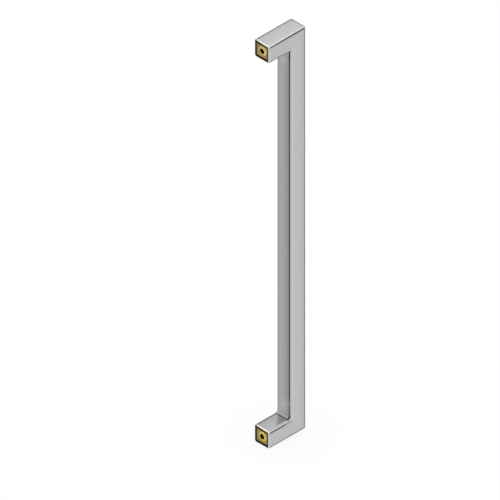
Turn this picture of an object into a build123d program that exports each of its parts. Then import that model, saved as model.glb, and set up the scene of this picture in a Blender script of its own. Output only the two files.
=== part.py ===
from build123d import *
import os
from math import radians, tan

os.makedirs("parts", exist_ok=True)

# Shower door pull handle, in millimetres
# The door's surface is the plane Y = 0, the handle stands out from it towards -Y, and Z runs up the grip.
# The origin lies on the door's surface, midway between the two fixing holes.

# Place on the door
hole_spacing = 450.0  # between the centres of the two fixing holes
finger_gap = 30.0  # from the door's surface to the grip

# Square tube
tube_side = 20.0  # outside width
tube_wall = 2.0
tube_edge_radius = 2.5  # rounding of the long edges and of the ground mitres, outside and in the corner

# Open ends of the tube
seat_width = 0.3  # flat of the rim that is left to sit on the door
mouth_chamfer = 0.2  # deburred inner edge of the rim

# Brass insert in each end
insert_length = 20.0
insert_recess = 0.3  # its face lies this far inside the rim
insert_clearance = 0.05  # to the tube's bore, on each side
insert_corner_relief = 1.0  # its corners are rounder than the bore's by this much
insert_face_side = 13.5  # the face stands inside a groove that keeps the braze off it
insert_face_corner_radius = 0.5
insert_face_chamfer = 0.3
insert_groove_depth = 1.5
insert_lead_chamfer = 1.0  # on the inner end, which goes in first

# Tapped hole of the insert, an M6 thread in a blind hole
thread_core_diameter = 5.0
hole_depth = 14.0  # full width, measured from the insert's face
drill_point_angle = 118.0
countersink_diameter = 6.5
countersink_angle = 90.0

# Sizes that follow
bore_side = tube_side - 2 * tube_wall
bore_edge_radius = tube_edge_radius - tube_wall
grip_distance = finger_gap + tube_side / 2
end_height = hole_spacing / 2
rim_room = tube_wall - seat_width - mouth_chamfer
rim_radius = min(rim_room, tube_edge_radius)
insert_side = bore_side - 2 * insert_clearance
insert_corner_radius = bore_edge_radius + insert_corner_relief
body_length = insert_length - insert_groove_depth

# The sections are drawn across the upper end, looking into the tube
upper_end = Plane(origin=(0, 0, end_height), x_dir=(1, 0, 0), z_dir=(0, -1, 0))

# Handle tube
# Three lengths of square tube, mitred, welded and ground flush into one hollow piece with two open ends.
with BuildPart() as handle_tube:
    with BuildLine(Plane.YZ) as centreline:
        Polyline(
            (0, end_height),
            (-grip_distance, end_height),
            (-grip_distance, -end_height),
            (0, -end_height),
        )
    with BuildSketch(upper_end):
        Rectangle(tube_side, tube_side)
    sweep(transition=Transition.RIGHT)

    # The long edges and the mitre edges are rounded together, so they meet in smooth corners
    end_edges = handle_tube.faces().filter_by(Axis.Y).group_by(Axis.Y)[-1].edges()
    long_edges = handle_tube.faces().filter_by(Axis.X).edges() - end_edges
    mitre_edges = handle_tube.edges().filter_by(Axis.X) - end_edges
    fillet(long_edges + mitre_edges, tube_edge_radius)

    # The outer edge of each rim is rounded over most of the wall
    rim_edges = handle_tube.faces().filter_by(Axis.Y).group_by(Axis.Y)[-1].edges()
    fillet(rim_edges, rim_radius)

    # The bore runs through all three lengths and turns with the mitres
    with BuildSketch(upper_end):
        RectangleRounded(bore_side, bore_side, bore_edge_radius)
    sweep(path=centreline.wire(), transition=Transition.RIGHT, mode=Mode.SUBTRACT)

    # The inner edge of each rim is deburred
    rims = handle_tube.faces().filter_by(Axis.Y).group_by(Axis.Y)[-1]
    mouth_edges = ShapeList(edge for rim in rims for wire in rim.inner_wires() for edge in wire.edges())
    chamfer(mouth_edges, mouth_chamfer)
handle_tube.part.label = "handle_tube"
export_step(handle_tube.part, "parts/handle_tube.step")

# Hole of an insert
# Half its section: countersink, threaded wall and drill point, seen from the hole's axis
mouth_radius = countersink_diameter / 2
core_radius = thread_core_diameter / 2
countersink_slope = tan(radians(countersink_angle / 2))
drill_point_slope = tan(radians(drill_point_angle / 2))
wall_start = (mouth_radius - core_radius) / countersink_slope
hole_end = hole_depth + core_radius / drill_point_slope
hole_section = [
    (0, 0),
    (mouth_radius, 0),
    (core_radius, -wall_start),
    (core_radius, -hole_depth),
    (0, -hole_end),
]

# Brass inserts
# A square plug with a tapped blind hole, which takes the stud that comes through the door
inserts = {"upper_insert": end_height, "lower_insert": -end_height}
for name, height in inserts.items():
    face_plane = Plane(origin=(0, -insert_recess, height), x_dir=(1, 0, 0), z_dir=(0, 1, 0))
    axis_plane = Plane(origin=(0, -insert_recess, height), x_dir=(1, 0, 0), z_dir=(0, 0, 1))
    with BuildPart() as insert:
        with BuildSketch(face_plane):
            RectangleRounded(insert_face_side, insert_face_side, insert_face_corner_radius)
        extrude(amount=-insert_groove_depth)
        with BuildSketch(face_plane.offset(-insert_groove_depth)):
            RectangleRounded(insert_side, insert_side, insert_corner_radius)
        extrude(amount=-body_length)
        ends = insert.faces().filter_by(Axis.Y).sort_by(Axis.Y)
        chamfer(ends[-1].edges(), insert_face_chamfer)
        chamfer(ends[0].edges(), insert_lead_chamfer)
        with BuildSketch(axis_plane):
            with BuildLine():
                Polyline(*hole_section, close=True)
            make_face()
        revolve(axis=Axis(face_plane.origin, face_plane.z_dir), mode=Mode.SUBTRACT)
    insert.part.label = name
    export_step(insert.part, f"parts/{name}.step")
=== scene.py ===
# %% [markdown]
# # A square shower door handle
#
# This lesson dresses a finished model of a pull handle. The shape comes from the maker's drawing, packed as a
# fixed frame: three lengths of square steel tube, mitred and welded into a tall C, with a brass insert in each
# open end. Blender adds what a drawing doesn't hold: the brushed finish, the threads, the light and the camera.
#
# Everything is in metres. Z runs up the grip, the door's surface is the plane Y = 0, and the handle stands out
# towards -Y.

# %% The packed model
import math

import bpy
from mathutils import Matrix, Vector


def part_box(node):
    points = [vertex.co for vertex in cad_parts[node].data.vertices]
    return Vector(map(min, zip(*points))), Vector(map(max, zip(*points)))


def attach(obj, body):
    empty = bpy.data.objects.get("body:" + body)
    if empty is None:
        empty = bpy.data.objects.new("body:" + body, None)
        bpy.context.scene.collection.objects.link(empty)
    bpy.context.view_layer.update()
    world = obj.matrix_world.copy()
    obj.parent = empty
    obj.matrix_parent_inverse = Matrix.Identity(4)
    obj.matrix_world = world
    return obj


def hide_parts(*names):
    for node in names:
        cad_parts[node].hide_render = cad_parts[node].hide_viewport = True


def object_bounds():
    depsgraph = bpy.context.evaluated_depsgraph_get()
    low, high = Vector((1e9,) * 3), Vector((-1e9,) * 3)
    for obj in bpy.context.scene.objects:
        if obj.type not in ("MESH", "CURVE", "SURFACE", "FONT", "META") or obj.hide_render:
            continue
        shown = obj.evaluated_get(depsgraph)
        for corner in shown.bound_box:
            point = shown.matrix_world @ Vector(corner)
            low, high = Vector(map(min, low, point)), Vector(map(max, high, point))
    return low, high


MM = 0.001  # metres in a millimetre

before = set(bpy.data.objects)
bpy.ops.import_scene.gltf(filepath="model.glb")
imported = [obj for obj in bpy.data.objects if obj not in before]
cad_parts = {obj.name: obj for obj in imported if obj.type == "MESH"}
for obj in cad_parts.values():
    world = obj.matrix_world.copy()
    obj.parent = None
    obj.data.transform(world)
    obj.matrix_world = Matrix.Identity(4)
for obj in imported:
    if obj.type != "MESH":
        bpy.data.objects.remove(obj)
cad_low, cad_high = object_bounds()
print("handle", [round(size / MM, 2) for size in cad_high - cad_low], "mm")

# %% [markdown]
# ## Camera
#
# A maker's catalogue shows a handle in an isometric view: parallel lines stay parallel, and the three main
# directions are shortened by the same amount. An orthographic camera on the diagonal of a cube gives just that.
# The camera looks from the door's side, so both open ends show.

# %% The camera
PICTURE_PIXELS = 500
PIXELS_PER_METRE = 1048.7
ORIGIN_PIXEL = (261.7, 244.19)  # where the origin lies in the picture, from its left and its top
CAMERA_DISTANCE = 2.0
CAMERA_REACH = 20.0

toward_camera = Vector((-1, 1, 1)).normalized()
picture_right = Vector((0, 0, 1)).cross(toward_camera).normalized()
picture_up = toward_camera.cross(picture_right)
pixels_right = PICTURE_PIXELS / 2 - ORIGIN_PIXEL[0]
pixels_down = PICTURE_PIXELS / 2 - ORIGIN_PIXEL[1]
aim = (picture_right * pixels_right - picture_up * pixels_down) / PIXELS_PER_METRE

camera_data = bpy.data.cameras.new("camera")
camera_data.type = "ORTHO"
camera_data.ortho_scale = PICTURE_PIXELS / PIXELS_PER_METRE
camera_data.clip_end = CAMERA_REACH
camera = bpy.data.objects.new("camera", camera_data)
camera.location = aim + toward_camera * CAMERA_DISTANCE
camera.rotation_euler = toward_camera.to_track_quat("Z", "Y").to_euler()
bpy.context.scene.collection.objects.link(camera)
bpy.context.scene.camera = camera
bpy.context.scene.view_settings.view_transform = "Standard"
print("camera sees", round(camera_data.ortho_scale / MM, 1), "mm across")

# %% [markdown]
# ## Node trees in Python
#
# Each finish below is a small formula. Written by hand in a node editor it would be a web of Math nodes, so a
# small class wraps a socket and lets Python's own operators add them. Every other kind of node comes from one
# function, which takes the node's type, its settings and what goes into its sockets.

# %% The socket class
class Value:
    """A socket of a node tree. Python's operators on it add Math nodes."""

    def __init__(self, tree, socket):
        self.tree = tree
        self.socket = socket

    def math(self, operation, *others):
        """A Math node on this value and the others."""
        node = add_node(self.tree, "ShaderNodeMath", {"operation": operation}, dict(enumerate((self, *others))))
        return Value(self.tree, node.outputs[0])

    def __neg__(self):
        return self.math("MULTIPLY", -1.0)

    def __add__(self, other):
        return self.math("ADD", other)

    def __radd__(self, other):
        return self.math("ADD", other)

    def __sub__(self, other):
        return self.math("SUBTRACT", other)

    def __rsub__(self, other):
        return self.math("MULTIPLY_ADD", -1.0, other)

    def __mul__(self, other):
        return self.math("MULTIPLY", other)

    def __rmul__(self, other):
        return self.math("MULTIPLY", other)

    def __truediv__(self, other):
        return self.math("DIVIDE", other)

    def __abs__(self):
        return self.math("ABSOLUTE")

    def __gt__(self, other):
        return self.math("GREATER_THAN", other)

    def least(self, other):
        return self.math("MINIMUM", other)

    def most(self, other):
        return self.math("MAXIMUM", other)

    def ramp(self, low, high):
        """0 at low, 1 at high and beyond, and smooth between them."""
        inputs = {"Value": self, "From Min": low, "From Max": high}
        node = add_node(self.tree, "ShaderNodeMapRange", {"interpolation_type": "SMOOTHSTEP"}, inputs)
        return Value(self.tree, node.outputs[0])


def add_node(tree, kind, settings=None, inputs=None):
    """Adds a node: its settings first, then the values or links of its sockets."""
    node = tree.nodes.new(kind)
    for name, setting in (settings or {}).items():
        setattr(node, name, setting)
    for name, value in (inputs or {}).items():
        socket = node.inputs[name]
        if isinstance(value, Value):
            value = value.socket
        if isinstance(value, bpy.types.NodeSocket):
            tree.links.new(value, socket)
        else:
            socket.default_value = value
    return node


print("the socket class has", sum(callable(member) for member in vars(Value).values()), "methods")

# %% Sums, distances and colours
def total(base, *parts):
    """A number plus masks, each times its own amount."""
    for mask, amount in parts:
        base = base + mask * amount
    return base


def distance(a, b):
    """The length of the hypotenuse over two sides."""
    return (a * a + b * b).math("SQRT")


def mix_colours(tree, share, first, second):
    """The first colour where share is 0, the second where it is 1."""
    colours = {6: first, 7: second}
    inputs = {at: (*colour, 1) if isinstance(colour, tuple) else colour for at, colour in colours.items()}
    node = add_node(tree, "ShaderNodeMix", {"data_type": "RGBA"}, {"Factor": share, **inputs})
    return Value(tree, node.outputs[2])


def scale_colour(tree, colour, factor):
    """A colour made lighter or darker."""
    node = add_node(tree, "ShaderNodeVectorMath", {"operation": "SCALE"}, {0: colour, "Scale": factor})
    return Value(tree, node.outputs["Vector"])


def tint_colour(tree, colour, tint):
    """A colour seen through a tint."""
    node = add_node(tree, "ShaderNodeVectorMath", {"operation": "MULTIPLY"}, {0: colour, 1: tint})
    return Value(tree, node.outputs["Vector"])


print("helpers for sums, distances and colours are ready")

# %% [markdown]
# ## Studio
#
# Metal has no colour of its own to speak of: it shows the room. A photographer lights a handle like this in a
# pale room with a soft box overhead and a few dark cards. A flat side mirrors one direction and gets an even
# tone. A rounded edge mirrors a whole sweep of directions, so each card draws a thin dark line along it.
#
# The world below is that room: an even level plus soft round patches, each with its own direction and width.
# Lamps and real cards would do the same, but they would throw shadows and be in the way of other views. Only
# reflections see the patches. The camera sees plain white.

# %% The room
ROOM_LEVEL = 1.05
ROOM_DARKEST = 0.02
ROOM_PATCHES = [  # degrees round from +X, degrees above the horizon, degrees to half strength, light added
    (214, -6, 13, -1.6),
    (69.5, -35, 9.2, -2.4),
    (45, -35, 18, -0.235),
    (140, -35, 25, -0.18),
    (355, -35, 15, -0.92),
    (0, -55, 14, -0.8),
    (317, -3, 22, -2.0),
    (302, -38, 20, -1.0),
    (275, -35, 17, -1.8),
    (0, 58, 20, 0.3),
    (48, 25, 18, -0.34),
]
WHITE = (1.0, 1.0, 1.0, 1.0)


def room_light(tree, direction):
    """The light that comes from a direction."""
    light = ROOM_LEVEL
    for around, above, width, strength in ROOM_PATCHES:
        around, above, width = math.radians(around), math.radians(above), math.radians(width)
        level = math.cos(above)
        toward = (level * math.cos(around), level * math.sin(around), math.sin(above))
        dot = add_node(tree, "ShaderNodeVectorMath", {"operation": "DOT_PRODUCT"}, {0: direction, 1: toward})
        sharpness = math.log(2) / (1 - math.cos(width))
        patch = ((Value(tree, dot.outputs["Value"]) - 1.0) * sharpness).math("EXPONENT")
        light = light + patch * strength
    return light.most(ROOM_DARKEST)


world = bpy.data.worlds.new("studio")
world.use_nodes = True
bpy.context.scene.world = world
tree = world.node_tree
tree.nodes.clear()
direction = add_node(tree, "ShaderNodeTexCoord").outputs["Generated"]
rays = add_node(tree, "ShaderNodeLightPath")
is_glossy = Value(tree, rays.outputs["Is Glossy Ray"])
strength = is_glossy * (room_light(tree, direction) - 1.0) + 1.0
background = add_node(tree, "ShaderNodeBackground", inputs={"Color": WHITE, "Strength": strength})
add_node(tree, "ShaderNodeOutputWorld", inputs={"Surface": background.outputs[0]})
print("world nodes", len(tree.nodes))

# %% [markdown]
# ## Soft boxes
#
# The upper and the lower post mirror the same direction, so a far room would light their tops alike. Two soft
# boxes hang close by instead, as glowing cards. Each is brighter towards its top, and each post mirrors its own
# part of them: one box shows in the flat tops, the other in the rounded edges beside them. They fade out round
# their middle, so that no hard border of a card runs over the steel.

# %% The soft boxes
SOFT_BOXES = {
    # Place of the centre, which way is up, half its side, distance from the centre where it starts to fade,
    # its light low down and high up, and half the height over which the light changes
    "top_box": ((1.155, -1.155, 1.155), (-1, 1, 2), 0.5, 0.32, 0.85, 1.06, 0.2),
    "edge_box": ((-0.30, -0.52, 0.60), (-0.1, 1.0, 0.9), 0.55, 0.36, 0.95, 1.22, 0.08),
}
CORNERS = [(-1, -1), (1, -1), (1, 1), (-1, 1)]
CARD_FACE = [(0, 1, 2, 3)]


def hang_box(name, centre, up, half, fade_start, dim, bright, change):
    """A glowing card that faces the handle and fades into the room round its middle."""
    centre = Vector(centre)
    away = centre.normalized()
    up = (Vector(up) - away * away.dot(Vector(up))).normalized()
    right = up.cross(away)
    mesh = bpy.data.meshes.new(name)
    mesh.from_pydata([centre + (right * a + up * b) * half for a, b in CORNERS], [], CARD_FACE)
    box = bpy.data.objects.new(name, mesh)
    for kind in ("camera", "diffuse", "shadow", "transmission", "volume_scatter"):
        setattr(box, "visible_" + kind, False)
    bpy.context.scene.collection.objects.link(box)

    light = bpy.data.materials.new(name + "_light")
    light.use_nodes = True
    tree = light.node_tree
    tree.nodes.clear()
    point = add_node(tree, "ShaderNodeTexCoord").outputs["Object"]
    offset = add_node(tree, "ShaderNodeVectorMath", {"operation": "SUBTRACT"}, {0: point, 1: centre}).outputs[0]
    rise = add_node(tree, "ShaderNodeVectorMath", {"operation": "DOT_PRODUCT"}, {0: offset, 1: up})
    apart = add_node(tree, "ShaderNodeVectorMath", {"operation": "LENGTH"}, {0: offset})
    level = dim + (bright - dim) * Value(tree, rise.outputs["Value"]).ramp(-change, change)
    fade = Value(tree, apart.outputs["Value"]).ramp(fade_start, half)
    glow = add_node(tree, "ShaderNodeEmission", inputs={"Color": WHITE, "Strength": level})
    clear = add_node(tree, "ShaderNodeBsdfTransparent")
    mixed = add_node(tree, "ShaderNodeMixShader", inputs={0: fade, 1: glow.outputs[0], 2: clear.outputs[0]})
    add_node(tree, "ShaderNodeOutputMaterial", inputs={"Surface": mixed.outputs[0]})
    mesh.materials.append(light)
    print(name, half * 2, "m across at", round(centre.length, 2), "m")


for name, shape in SOFT_BOXES.items():
    hang_box(name, *shape)

# %% [markdown]
# ## Floor
#
# The ground of a catalogue picture is plain white paper. Lit paper is never quite even, so most of what the
# camera sees of this floor is its own white glow, and the rest is lit and takes the handle's soft shadow.
# Reflections don't see it, because the room below the horizon already stands for it.

# %% The floor
FLOOR_HALF = 6.0
FLOOR_GLOW = 0.85  # share of plain white in what the camera sees

floor_corners = [(FLOOR_HALF * right, FLOOR_HALF * back, cad_low.z) for right, back in CORNERS]
floor_mesh = bpy.data.meshes.new("floor")
floor_mesh.from_pydata(floor_corners, [], CARD_FACE)
floor = bpy.data.objects.new("floor", floor_mesh)
floor.visible_glossy = False
bpy.context.scene.collection.objects.link(floor)

floor_finish = bpy.data.materials.new("floor_white")
floor_finish.use_nodes = True
tree = floor_finish.node_tree
tree.nodes.clear()
rays = add_node(tree, "ShaderNodeLightPath")
paper = add_node(tree, "ShaderNodeBsdfDiffuse", inputs={"Color": WHITE})
glow = add_node(tree, "ShaderNodeEmission", inputs={"Color": WHITE, "Strength": 1.0})
share = Value(tree, rays.outputs["Is Camera Ray"]) * FLOOR_GLOW
mixed = add_node(tree, "ShaderNodeMixShader", inputs={0: share, 1: paper.outputs[0], 2: glow.outputs[0]})
add_node(tree, "ShaderNodeOutputMaterial", inputs={"Surface": mixed.outputs[0]})
floor_mesh.materials.append(floor_finish)
print("floor at", round(cad_low.z / MM, 1), "mm")

# %% [markdown]
# ## Brushed steel
#
# The tube is stainless steel, ground with a belt that ran along each of its three lengths. Its grain is fine
# lines, so the pattern is noise stretched along the tube: about 4 lines to a millimetre across it, and each line
# centimetres long. A photo of steel wrapped round the tube would need an unwrapped mesh and would repeat. The
# noise needs neither. The grain turns at the mitre, so the shader first works out which length a point is on.

# %% Metals and their patterns
EDGE_TINT = (0.15, 0.15, 0.15)  # how much of the light a grazing view still gets
DULL_SHINE = 0.12  # shine of the spots of dirt, where the surface isn't metal


def new_metal(name):
    """A material with its node tree and shader."""
    material = bpy.data.materials.new(name)
    material.use_nodes = True
    shader = material.node_tree.nodes["Principled BSDF"]
    shader.inputs["Specular Tint"].default_value = (*EDGE_TINT, 1)
    shader.inputs["Specular IOR Level"].default_value = DULL_SHINE
    return material, material.node_tree, shader


def finish_metal(tree, shader, colour, metal, roughness, relief):
    """Gives the shader its colour, share of bare metal, roughness, and relief in millimetres."""
    bump = add_node(tree, "ShaderNodeBump", inputs={"Height": relief * MM, "Distance": 1.0, "Strength": 1.0})
    sockets = {"Base Color": colour.socket, "Metallic": metal.socket, "Roughness": roughness.socket}
    for name, socket in {**sockets, "Normal": bump.outputs[0]}.items():
        tree.links.new(socket, shader.inputs[name])


def object_mm(tree):
    """The object coordinates of a point, in millimetres."""
    place = add_node(tree, "ShaderNodeTexCoord")
    parts = add_node(tree, "ShaderNodeSeparateXYZ", inputs={0: place.outputs["Object"]})
    return [Value(tree, parts.outputs[axis]) * (1 / MM) for axis in "XYZ"]


def noise(tree, point, lines, detail=2.0, distortion=0.0):
    """Noise with its own number of lines per millimetre along each axis, 0 on average."""
    vector = add_node(tree, "ShaderNodeCombineXYZ", inputs={i: point[i] * lines[i] for i in range(3)})
    inputs = {"Vector": vector.outputs[0], "Scale": 1.0, "Detail": detail, "Distortion": distortion}
    return Value(tree, add_node(tree, "ShaderNodeTexNoise", inputs=inputs).outputs["Fac"]) - 0.5


print("helpers for metals are ready")

# %% Where a point lies on the tube
HALF_SIDE = (cad_high.x - cad_low.x) / 2 / MM
POST_HEIGHT = cad_high.z / MM - HALF_SIDE  # the axis of a post, above or below the origin
GRIP_Y = cad_low.y / MM + HALF_SIDE  # the axis of the grip

steel, tree, shader = new_metal("belt_ground_steel")
x, y, z = object_mm(tree)
height = abs(z)
on_post = (height + y) > (POST_HEIGHT + GRIP_Y)
across = on_post * (height - POST_HEIGHT) + (1 - on_post) * (y - GRIP_Y)
along = on_post * y + (1 - on_post) * z
print("grip's axis at", round(GRIP_Y, 2), "mm, posts' axes at", round(POST_HEIGHT, 2), "mm")

# %% The grain of the belt
GRAIN_LINES = (4.0, 4.0, 0.07)  # lines per millimetre across the tube, both ways, and along it
STREAK_LINES = (0.9, 0.9, 0.012)
CLOUD_LINES = (0.035, 0.035, 0.02)

grain = noise(tree, (x, across, along), GRAIN_LINES)
streaks = noise(tree, (x, across, along), STREAK_LINES)
clouds = noise(tree, (x, y, z), CLOUD_LINES, detail=3.0)
tone = total(1, (grain, 0.10), (streaks, 0.06), (clouds, 0.05))
print("grain nodes", len(tree.nodes))

# %% [markdown]
# ## Wear, painted shade and painted highlights
#
# A handle isn't the same all over. Hands and the belt have polished its rounded edges, and the front of the grip
# has gone a little dull under the fingers. The belt has to lift before an inner corner, so the steel there is
# duller. Painted shade darkens that flat and the fillet, a painted dark line runs along the edge beside them, and
# painted shade lies as a line along the foot of the fillet. On the posts the belt has left the inner edge dull,
# and a painted dark line on the outer edge gets darker towards the corner. Inside the mouth round the brass,
# painted shade makes a black band, brown on the two upright sides, and a painted highlight lightens the rounded
# rim outside it.
#
# Each such place is a mask: a number from 0 to 1 that depends on where a point lies. A painted texture would do
# too, but a mask made of sizes stays sharp at any distance, and it moves along when the drawing changes.

# %% The edges and the front
def inside(start, full):
    """The two ends of a band, from how far in from the tube's side each lies, in millimetres."""
    return HALF_SIDE - start, HALF_SIDE - full


ROUNDED_EDGE = inside(2.6, 1.2)
FLAT_END = inside(4.4, 3.4)  # where a flat stops and its edge starts
FRONT_SKIN = (HALF_SIDE - GRIP_Y - 1.0, HALF_SIDE - GRIP_Y - 0.2)  # from the door to just inside the grip's front

edge = abs(x).least(abs(across)).ramp(*ROUNDED_EDGE)
off_edge = 1 - abs(x).ramp(*FLAT_END)
front = (-y).ramp(*FRONT_SKIN)
print("a flat is", round(2 * FLAT_END[0], 1), "mm wide")

# %% The inner corners
FILLET_RADIUS = 2.5
FILLET_Y = GRIP_Y + HALF_SIDE + FILLET_RADIUS  # the fillet's centre line
FILLET_HEIGHT = POST_HEIGHT - HALF_SIDE - FILLET_RADIUS
FILLET_SKIN = (FILLET_RADIUS + 0.4, FILLET_RADIUS + 1.4)  # where its mask ends, from the centre line
FACE_SKIN = 1.0  # the inner face's mask reaches this far into the wall
DULL_AND_SHADED_ZONE = (FILLET_HEIGHT - 24.0, FILLET_HEIGHT - 8.0)  # heights over which the belt lifts off the flat, and over which painted shade grows there
EDGE_SHADE_ZONE = (FILLET_HEIGHT - 22.0, FILLET_HEIGHT - 8.0)  # and over which painted shade darkens its edge
EDGE_SHADE_START = inside(3.6, 2.8)  # the strip of the rounded edge that gets a painted dark line
EDGE_SHADE_END = inside(2.2, 1.4)
FOOT_Y = FILLET_Y + 0.1
FOOT_WIDTH = (0.35, 0.85)  # from the middle of the line: where it starts to fade, and where it ends

in_corner = (height > FILLET_HEIGHT) * ((FILLET_Y - y) > 0.0)
from_centre = distance(height - FILLET_HEIGHT, y - FILLET_Y)
# the concave fillet: it is duller, and painted shade also makes it darker
fillet = in_corner * (1 - from_centre.ramp(*FILLET_SKIN))
on_inner_face = (y > GRIP_Y + HALF_SIDE - FACE_SKIN) * (1 - (height > FILLET_HEIGHT))
near_corner = on_inner_face * height.ramp(*DULL_AND_SHADED_ZONE)
dull_corner = fillet.most(near_corner) * off_edge
on_edge = (-x).ramp(*EDGE_SHADE_START)
beside_corner = on_inner_face * height.ramp(*EDGE_SHADE_ZONE)
# painted shade: a dark line along the -X edge beside the corner and in the fillet
shaded_edge_line = beside_corner.most(fillet) * on_edge * (1 - abs(x).ramp(*EDGE_SHADE_END))
# painted shade: a dark line along the foot of the fillet
foot_line = 1 - distance(height - (POST_HEIGHT - HALF_SIDE), y - FOOT_Y).ramp(*FOOT_WIDTH)
print("fillets at", FILLET_HEIGHT, "mm above and below the middle")

# %% The edges of the posts
INNER_SIDE = inside(4.0, 3.0)  # the side of a post that faces the other post
INNER_END = inside(1.4, 0.8)  # where the dull line on its edge stops
FADE_ALONG = (19.0, 26.0)  # distance from the door over which that line fades out
OUTER_SIDE = inside(2.6, 2.0)
OUTER_START = inside(0.8, 0.4)
DARKEN_ALONG = (5.0, 30.0)  # distance from the door over which the painted dark line on the outer edge gets darker

on_inner_edge = on_post * (-across).ramp(*INNER_SIDE) * on_edge
inner_line = on_inner_edge * (1 - abs(x).ramp(*INNER_END))
inner_line_end = on_inner_edge * (-y).ramp(*FADE_ALONG)
# painted shade: a dark line along each post's outer edge, darker towards the corner
shaded_outer_line = on_post * across.ramp(*OUTER_SIDE) * (-x).ramp(*OUTER_START) * (-y).ramp(*DARKEN_ALONG)
print("the inner lines fade", FADE_ALONG[0], "mm from the door")

# %% The mouths
MOUTH_SHADE_START = (0.95, 1.25)  # millimetres in from the tube's outside
MOUTH_SHADE_LEAN = 0.035  # nearer to the outside by this much for each millimetre towards +X, and twice it past the axis
MOUTH_SHADE_REACH = (-4.0, -0.3)  # Y over which the painted shade sets in
RIM = inside(1.5, 1.1)
RIM_REACH = (-2.2, -1.2)  # Y over which the rim starts
UPRIGHT_HIGHLIGHT_LOSS = 0.75  # how much less the painted highlight lightens the rim on the upright sides

from_axis = abs(x).most(abs(height - POST_HEIGHT))
upright = abs(x) > abs(height - POST_HEIGHT)
inward = HALF_SIDE - from_axis + (x + x.most(0.0)) * MOUTH_SHADE_LEAN
# painted shade: a dark band inside the mouth round the plug, dull and rough, not metal
mouth_shade = inward.ramp(*MOUTH_SHADE_START) * y.ramp(*MOUTH_SHADE_REACH)
# painted highlight: the rounded rim round the mouth is lighter in colour, less on the upright sides
rim_highlight = from_axis.ramp(*RIM) * y.ramp(*RIM_REACH) * (1 - upright * UPRIGHT_HIGHLIGHT_LOSS)
print("soot from about", MOUTH_SHADE_START[0], "mm inside the rim's edge")

# %% [markdown]
# ## The steel's shader
#
# The masks now set the colour, how much of the surface is bare metal, and its roughness. Each number beside a
# mask is how much that place adds. The belt also leaves each flat slightly full and falls off towards its edges
# and corners. That is far too little to model, but it is what makes the reflection change across a flat, so it
# goes into the height of the Bump node with the grain.

# %% The steel
STEEL = (0.57, 0.57, 0.568)
# colour of the painted shade along the fillet's foot
FOOT_SHADE_COLOUR = (0.02, 0.019, 0.017)
# colours of the painted shade inside the mouth, brown on the upright sides
MOUTH_SHADE_BLACK = (0.012, 0.009, 0.006)
MOUTH_SHADE_BROWN = (0.10, 0.073, 0.036)
STEEL_ROUGHNESS = 0.19
CORNER_SHADE = 0.11  # how much painted shade darkens the flat near the corner, and how much more towards -X
CORNER_SHADE_MORE = 0.3
SHADE_ACROSS = (-1.0, 8.0)  # millimetres towards -X over which it grows
# how dark the painted shade along the fillet's foot is
FOOT_SHADE_DEPTH = 0.85
CROWN = 0.0033  # fullness of a flat, in millimetres over a millimetre squared
ROLL_OFF = 0.5  # fall towards the edges, in millimetres at the full width
ROLL_POWER = 8.0
GRAIN_RELIEF = 0.004  # millimetres
STREAK_RELIEF = 0.002

# painted shade: the inner face gets darker towards the corner and towards -X
shade = near_corner * off_edge * (CORNER_SHADE + CORNER_SHADE_MORE * (-x).ramp(*SHADE_ACROSS))
# painted light and shade in the steel's colour: a painted highlight on the rim, painted shade in the fillet and
# on the flat near the corner, and painted dark lines along the edges
painted_light = total(1, (rim_highlight, 0.25), (fillet, -0.13), (shade, -1.0), (shaded_edge_line, -0.72), (shaded_outer_line, -0.45))
steel_with_painted_light = scale_colour(tree, STEEL, tone * painted_light)
# painted shade along the foot of the fillet
foot_shaded = mix_colours(tree, FOOT_SHADE_DEPTH * foot_line, steel_with_painted_light, FOOT_SHADE_COLOUR)
# painted shade inside the mouth: black, and brown on the upright sides
colour = mix_colours(tree, mouth_shade, foot_shaded, mix_colours(tree, upright, MOUTH_SHADE_BLACK, MOUTH_SHADE_BROWN))

dull = mouth_shade
for place, share in ((dull_corner.most(inner_line), 0.7), (front, 0.5), (inner_line_end, 0.45)):
    dull = dull.most(place * share)
roughness = total(STEEL_ROUGHNESS, (grain, 0.10), (clouds, 0.08), (edge, -0.06), (mouth_shade, 0.3))
roughness = total(roughness, (dull_corner, 0.3), (front, 0.15))

past_corner = on_post * (GRIP_Y - y).most(0.0) + (1 - on_post) * (height - POST_HEIGHT).most(0.0)
crown = (x * x + across * across) * CROWN
roll_off = 0
for reach in (abs(x), abs(across), past_corner):
    roll_off = roll_off + (reach / HALF_SIDE).math("POWER", ROLL_POWER)
relief = grain * GRAIN_RELIEF + streaks * STREAK_RELIEF - crown - roll_off * ROLL_OFF
finish_metal(tree, shader, colour, 1 - dull, roughness, relief)

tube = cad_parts["handle_tube"]
tube.data.materials.clear()
tube.data.materials.append(steel)
print("steel nodes", len(tree.nodes))

# %% [markdown]
# ## Brass
#
# The plugs are turned and tapped brass that was left as it came from the brazing: bare round the hole, where a
# painted highlight also lightens it, with olive and brown tarnish outside it, black and brown painted shade in
# the groove, and painted shade down the hole. One corner of the upper plug is scorched brown, and the lower plug
# has gone greener. The facing tool has left rings round the hole, so that noise runs over the distance from the
# hole's axis. One material serves both plugs, because it measures from the axis of the nearer post.

# %% Where a point lies on a plug
FACE_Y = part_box("upper_insert")[1].y / MM
FACE_HALF = 6.75

brass, tree, shader = new_metal("tarnished_brass")
x, y, z = object_mm(tree)
on_upper = z > 0.0
height = z - POST_HEIGHT * (on_upper * 2.0 - 1.0)
radius = distance(x, height)
from_axis = abs(x).most(abs(height))
depth = FACE_Y - y
print("plug faces at", round(FACE_Y, 2), "mm")

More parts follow.
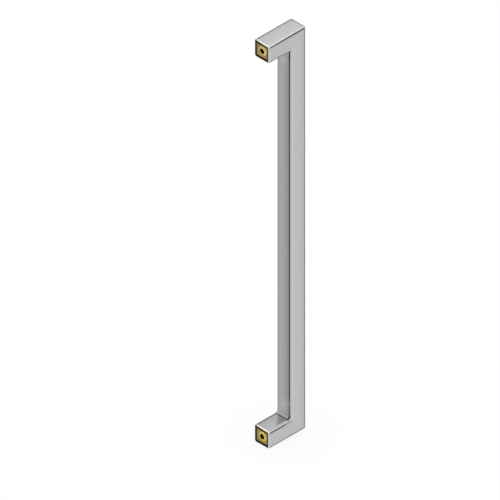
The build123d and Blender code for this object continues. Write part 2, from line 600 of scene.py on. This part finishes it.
# %% Marks and patches
RING_LINES = (7.0, 0.05, 0.05)  # lines per millimetre out from the axis, and across and up
PATCH_LINES = (0.22, 0.22, 0.22)
SPECK_LINES = (1.1, 1.1, 1.1)
CLEAN_AND_HIGHLIT_SPOT = (-1.3, 1.2)  # across and up from the hole's axis
CLEAN_AND_HIGHLIT_RADII = (3.7, 6.0)
CLEAN_AND_HIGHLIT_WANDER = 4.0  # how far the patches push its border about
SCORCHED_SPOT = (4.5, POST_HEIGHT + 6.0)
SCORCHED_RADII = (3.0, 8.0)
BROWN_PATCHES = 3.0  # how strongly the patches choose between olive and brown
BROWN_LEAN = 0.05  # more brown low down and towards -X
BROWN_START = (-0.2, 0.4)
GROOVE_START = (FACE_HALF - 0.45, FACE_HALF - 0.1)
HOLE_EDGE = (3.15, 3.3)
HOLE_DARK = (0.05, 0.35)  # depth over which it gets dark

rings = noise(tree, (radius, x, height), RING_LINES, detail=3.0)
patches = noise(tree, (x, y, z), PATCH_LINES, detail=3.0, distortion=0.4)
specks = noise(tree, (x, y, z), SPECK_LINES)

from_clean_and_highlit = distance(x - CLEAN_AND_HIGHLIT_SPOT[0], height - CLEAN_AND_HIGHLIT_SPOT[1])
# bare brass round the hole, lighter than the tarnish, which also stands in for a painted highlight there
clean_and_highlit = 1 - (from_clean_and_highlit + patches * CLEAN_AND_HIGHLIT_WANDER).ramp(*CLEAN_AND_HIGHLIT_RADII)
scorched = 1 - distance(x - SCORCHED_SPOT[0], z - SCORCHED_SPOT[1]).ramp(*SCORCHED_RADII)
brown = (patches * BROWN_PATCHES + specks - (height + x) * BROWN_LEAN + scorched).ramp(*BROWN_START)
in_groove = from_axis.ramp(*GROOVE_START)
in_hole = (1 - radius.ramp(*HOLE_EDGE)) * depth.ramp(*HOLE_DARK)
print("pattern nodes", len(tree.nodes))

# %% The brass
BRASS = (1.0, 0.83, 0.31)
TARNISH_OLIVE = (0.54, 0.49, 0.15)
TARNISH_BROWN = (0.58, 0.39, 0.15)
LOWER_TINT = (1.0, 1.02, 0.74)
UPPER_TINT = (1.0, 1.0, 1.0)
# colours of the painted shade in the groove round the face
GROOVE_SHADE_BLACK = (0.012, 0.009, 0.005)
GROOVE_SHADE_BROWN = (0.19, 0.14, 0.07)
# colour of the painted shade in the hole, and how much of the brass it covers
HOLE_SHADE_COLOUR = (0.018, 0.008, 0.002)
HOLE_SHADE_COVER = 0.97
BRASS_ROUGHNESS = 0.2
RING_RELIEF = 0.006  # millimetres
SPECK_RELIEF = 0.01

tarnish = mix_colours(tree, brown, TARNISH_OLIVE, TARNISH_BROWN)
# bare brass round the hole, partly a painted highlight, and tarnish elsewhere
bare = mix_colours(tree, clean_and_highlit, tarnish, BRASS)
bare = tint_colour(tree, bare, mix_colours(tree, on_upper, LOWER_TINT, UPPER_TINT))
bare = scale_colour(tree, bare, total(1, (rings, 0.16), (specks, 0.22)))
# painted shade in the groove: black, and brown on the upright sides
groove_shade = mix_colours(tree, abs(x) > abs(height), GROOVE_SHADE_BLACK, GROOVE_SHADE_BROWN)
# painted shade down the threaded hole
hole_shaded = mix_colours(tree, HOLE_SHADE_COVER * in_hole, bare, HOLE_SHADE_COLOUR)
colour = mix_colours(tree, in_groove, hole_shaded, groove_shade)
roughness = total(BRASS_ROUGHNESS, (rings, 0.12), (specks, 0.15), (1 - clean_and_highlit, 0.12), (in_groove, 0.3))
relief = rings * RING_RELIEF + specks * SPECK_RELIEF
finish_metal(tree, shader, colour, 1 - in_groove, roughness, relief)
print("brass nodes", len(tree.nodes))

# %% [markdown]
# ## Threaded plugs
#
# The drawing has each plug with a plain hole of the thread's core. The real one is tapped, and a thread is a
# groove that follows a helix, so this is work for Geometry Nodes. A plug could be cut by Boolean modifiers with a
# screw-shaped tool, but that leaves ragged triangles. Instead one grid is bent into the whole plug: its columns
# run round the axis, and its rows run from the middle of the back, over the sides, the groove and the face, and
# down the hole to the drill's point. The rows in the hole follow the helix, so the thread's edges stay crisp.

# %% Rows of the plug
PLUG_LENGTH = 20.0  # all sizes of the plug are in millimetres
BODY_HALF = 7.95
BODY_CORNER = 1.5
LEAD_CHAMFER = 1.0
GROOVE_DEPTH = 1.5
FACE_CORNER = 0.5
FACE_CHAMFER = 0.3
FACE_RING = 4.9  # a circle on the flat face, where the square outline has turned round
MOUTH_RADIUS = 3.25
OUTSIDE_ROWS = [  # half of the side, corner radius, depth below the face
    (0.0, 0.0, PLUG_LENGTH),
    (BODY_HALF - LEAD_CHAMFER, BODY_CORNER - LEAD_CHAMFER, PLUG_LENGTH),
    (BODY_HALF, BODY_CORNER, PLUG_LENGTH - LEAD_CHAMFER),
    (BODY_HALF, BODY_CORNER, GROOVE_DEPTH),
    (FACE_HALF, FACE_CORNER, GROOVE_DEPTH),
    (FACE_HALF, FACE_CORNER, FACE_CHAMFER),
    (FACE_HALF - FACE_CHAMFER, FACE_CORNER - FACE_CHAMFER, 0.0),
    (FACE_RING, FACE_RING, 0.0),
    (MOUTH_RADIUS, MOUTH_RADIUS, 0.0),
]
CORE_RADIUS = 2.5
HOLE_DEPTH = 14.0
DRILL_POINT_ANGLE = 118.0
POINT_DEPTH = HOLE_DEPTH + CORE_RADIUS / math.tan(math.radians(DRILL_POINT_ANGLE / 2))
THREAD_PITCH = 1.0
THREAD_DEPTH = 0.5
THREAD_END = (HOLE_DEPTH - 2.0, HOLE_DEPTH - 1.0)  # depth over which the thread runs out
THREAD_ROWS = [  # share of a turn, share of the thread's depth
    (0.0, 0.0), (0.125, 0.0), (0.28125, 0.5), (0.4375, 1.0),
    (0.5, 1.0), (0.5625, 1.0), (0.71875, 0.5), (0.875, 0.0),
]
TURNS = 15
COLUMNS = 144
outside_count = len(OUTSIDE_ROWS)
thread_count = TURNS * len(THREAD_ROWS)
row_count = outside_count + thread_count + 2  # the last two are the foot of the hole and the drill's point
print("rows", row_count, "columns", COLUMNS)

# %% Formulas of the plug
def pick(tree, index, numbers):
    """The number in a list that an index points to."""
    node = add_node(tree, "GeometryNodeIndexSwitch", {"data_type": "FLOAT"})
    while len(node.index_switch_items) < len(numbers):
        node.index_switch_items.new()
    tree.links.new(index.socket, node.inputs["Index"])
    for place, number in enumerate(numbers):
        node.inputs[place + 1].default_value = number
    return Value(tree, node.outputs[0])


def rounded_square(cosine, sine, half, corner):
    """The distance from the centre to the outline of a square with round corners, in one direction."""
    big = abs(cosine).most(abs(sine))
    small = abs(cosine).least(abs(sine))
    straight = half - corner
    bow = (corner * corner - straight * straight * (big - small) * (big - small)).most(0.0).math("SQRT")
    on_corner = (small * half) > (straight * big)
    return on_corner * (straight * (big + small) + bow) + (1 - on_corner) * (half / big)


print("formulas ready")

# %% The grid and its angles
PLUG_CORNERS = 4.0
CROWDING = 0.7  # how far the columns crowd towards the corners

plug_tree = bpy.data.node_groups.new("tapped_plug", "GeometryNodeTree")
plug_tree.is_modifier = True
size_sockets = {}
for name in ("Height", "Pitch", "Thread Depth"):
    socket = plug_tree.interface.new_socket(name, in_out="INPUT", socket_type="NodeSocketFloat")
    size_sockets[name] = socket
plug_tree.interface.new_socket("Geometry", in_out="OUTPUT", socket_type="NodeSocketGeometry")
given = add_node(plug_tree, "NodeGroupInput")
centre_height, pitch, thread_depth = [Value(plug_tree, given.outputs[name]) for name in size_sockets]

grid = add_node(plug_tree, "GeometryNodeMeshGrid", inputs={
    "Size X": row_count - 1, "Size Y": COLUMNS, "Vertices X": row_count, "Vertices Y": COLUMNS + 1,
})
spot = add_node(plug_tree, "GeometryNodeInputPosition").outputs[0]
spot = add_node(plug_tree, "ShaderNodeSeparateXYZ", inputs={0: spot})
row = (Value(plug_tree, spot.outputs["X"]) + (row_count - 1) / 2).math("ROUND")
column = Value(plug_tree, spot.outputs["Y"]) / COLUMNS + 0.5
angle = column * math.tau
angle = angle + (angle * PLUG_CORNERS).math("SINE") * (CROWDING / PLUG_CORNERS)
cosine, sine = angle.math("COSINE"), angle.math("SINE")
print("grid of", row_count * (COLUMNS + 1), "points")

# %% Radius and depth of each point
outside = [pick(plug_tree, row.least(outside_count - 1), numbers) for numbers in zip(*OUTSIDE_ROWS)]
outside_half, outside_corner, outside_depth = outside
outside_radius = rounded_square(cosine, sine, outside_half, outside_corner)

step = (row - outside_count).most(0.0)
turn = (step / len(THREAD_ROWS)).math("FLOOR")
part = step - turn * len(THREAD_ROWS)
phase, groove = [pick(plug_tree, part, numbers) for numbers in zip(*THREAD_ROWS)]
turned = turn + phase - 1 + angle / math.tau  # the first turn starts above the face, so none is missing at it
sunk = (turned * pitch).most(0.0).least(HOLE_DEPTH)
cut = groove * thread_depth * (1 - sunk.ramp(*THREAD_END))
thread_radius = (MOUTH_RADIUS - sunk).most(CORE_RADIUS + cut)

# Rows are whole numbers, so each test lies half way between two of them
in_thread = row > (outside_count - 0.5)
at_foot = row > (outside_count + thread_count - 0.5)
at_point = row > (outside_count + thread_count + 0.5)
hole_radius = thread_radius + at_foot * (CORE_RADIUS - thread_radius)
hole_depth = sunk + at_foot * (HOLE_DEPTH - sunk)
plug_radius = ((1 - in_thread) * outside_radius + in_thread * hole_radius) * (1 - at_point)
plug_depth = (1 - in_thread) * outside_depth + in_thread * hole_depth + at_point * (POINT_DEPTH - HOLE_DEPTH)
print("plug tree nodes so far", len(plug_tree.nodes))

# %% The bent grid
WELD_DISTANCE = 0.002  # millimetres

position = add_node(plug_tree, "ShaderNodeCombineXYZ", inputs={
    "X": plug_radius * cosine * MM,
    "Y": (FACE_Y - plug_depth) * MM,
    "Z": plug_radius * sine * MM + centre_height,
}).outputs[0]
geometry = grid.outputs["Mesh"]
for kind, inputs in (
    ("GeometryNodeSetPosition", {"Position": position}),
    ("GeometryNodeMergeByDistance", {"Distance": WELD_DISTANCE * MM}),
    ("GeometryNodeRealizeInstances", {}),
    ("GeometryNodeSetMaterial", {"Material": brass}),
):
    geometry = add_node(plug_tree, kind, inputs={"Geometry": geometry, **inputs}).outputs[0]
add_node(plug_tree, "NodeGroupOutput", inputs={"Geometry": geometry})
print("plug tree nodes", len(plug_tree.nodes))

# %% [markdown]
# ## From tree to mesh
#
# A helper object carries the tree as a modifier, with the height of its post as an input, so one tree makes both
# plugs. Its result is then read back as a plain mesh, so that nothing live is left on the piece, and each plug
# takes the place of the plain one in the drawing. Shading is smooth but for the edges that turn sharply.

# %% Making the plugs
SHARP_ANGLE = math.radians(25)


def make_plug(name, centre):
    """A tapped plug as a plain mesh, centred on the axis of a post."""
    maker = bpy.data.objects.new(name + "_maker", bpy.data.meshes.new(name + "_maker"))
    bpy.context.scene.collection.objects.link(maker)
    modifier = maker.modifiers.new("plug", "NODES")
    modifier.node_group = plug_tree
    sizes = {"Height": centre * MM, "Pitch": THREAD_PITCH, "Thread Depth": THREAD_DEPTH}
    for label, size in sizes.items():
        modifier[size_sockets[label].identifier] = size
    evaluated = maker.evaluated_get(bpy.context.evaluated_depsgraph_get())
    mesh = bpy.data.meshes.new_from_object(evaluated)
    maker.modifiers.remove(modifier)
    bpy.data.objects.remove(maker)
    mesh.name = name
    mesh.materials.clear()
    mesh.materials.append(brass)
    mesh.shade_smooth()
    mesh.set_sharp_from_angle(angle=SHARP_ANGLE)
    plug = bpy.data.objects.new(name, mesh)
    bpy.context.scene.collection.objects.link(plug)
    return plug


for side, sign in (("upper", 1), ("lower", -1)):
    plug = make_plug(side + "_plug", sign * POST_HEIGHT)
    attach(plug, "root")
    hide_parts(side + "_insert")
    print(plug.name, len(plug.data.polygons), "faces")

# %% [markdown]
# ## Sizes
#
# Dressing a model must not make it bigger.
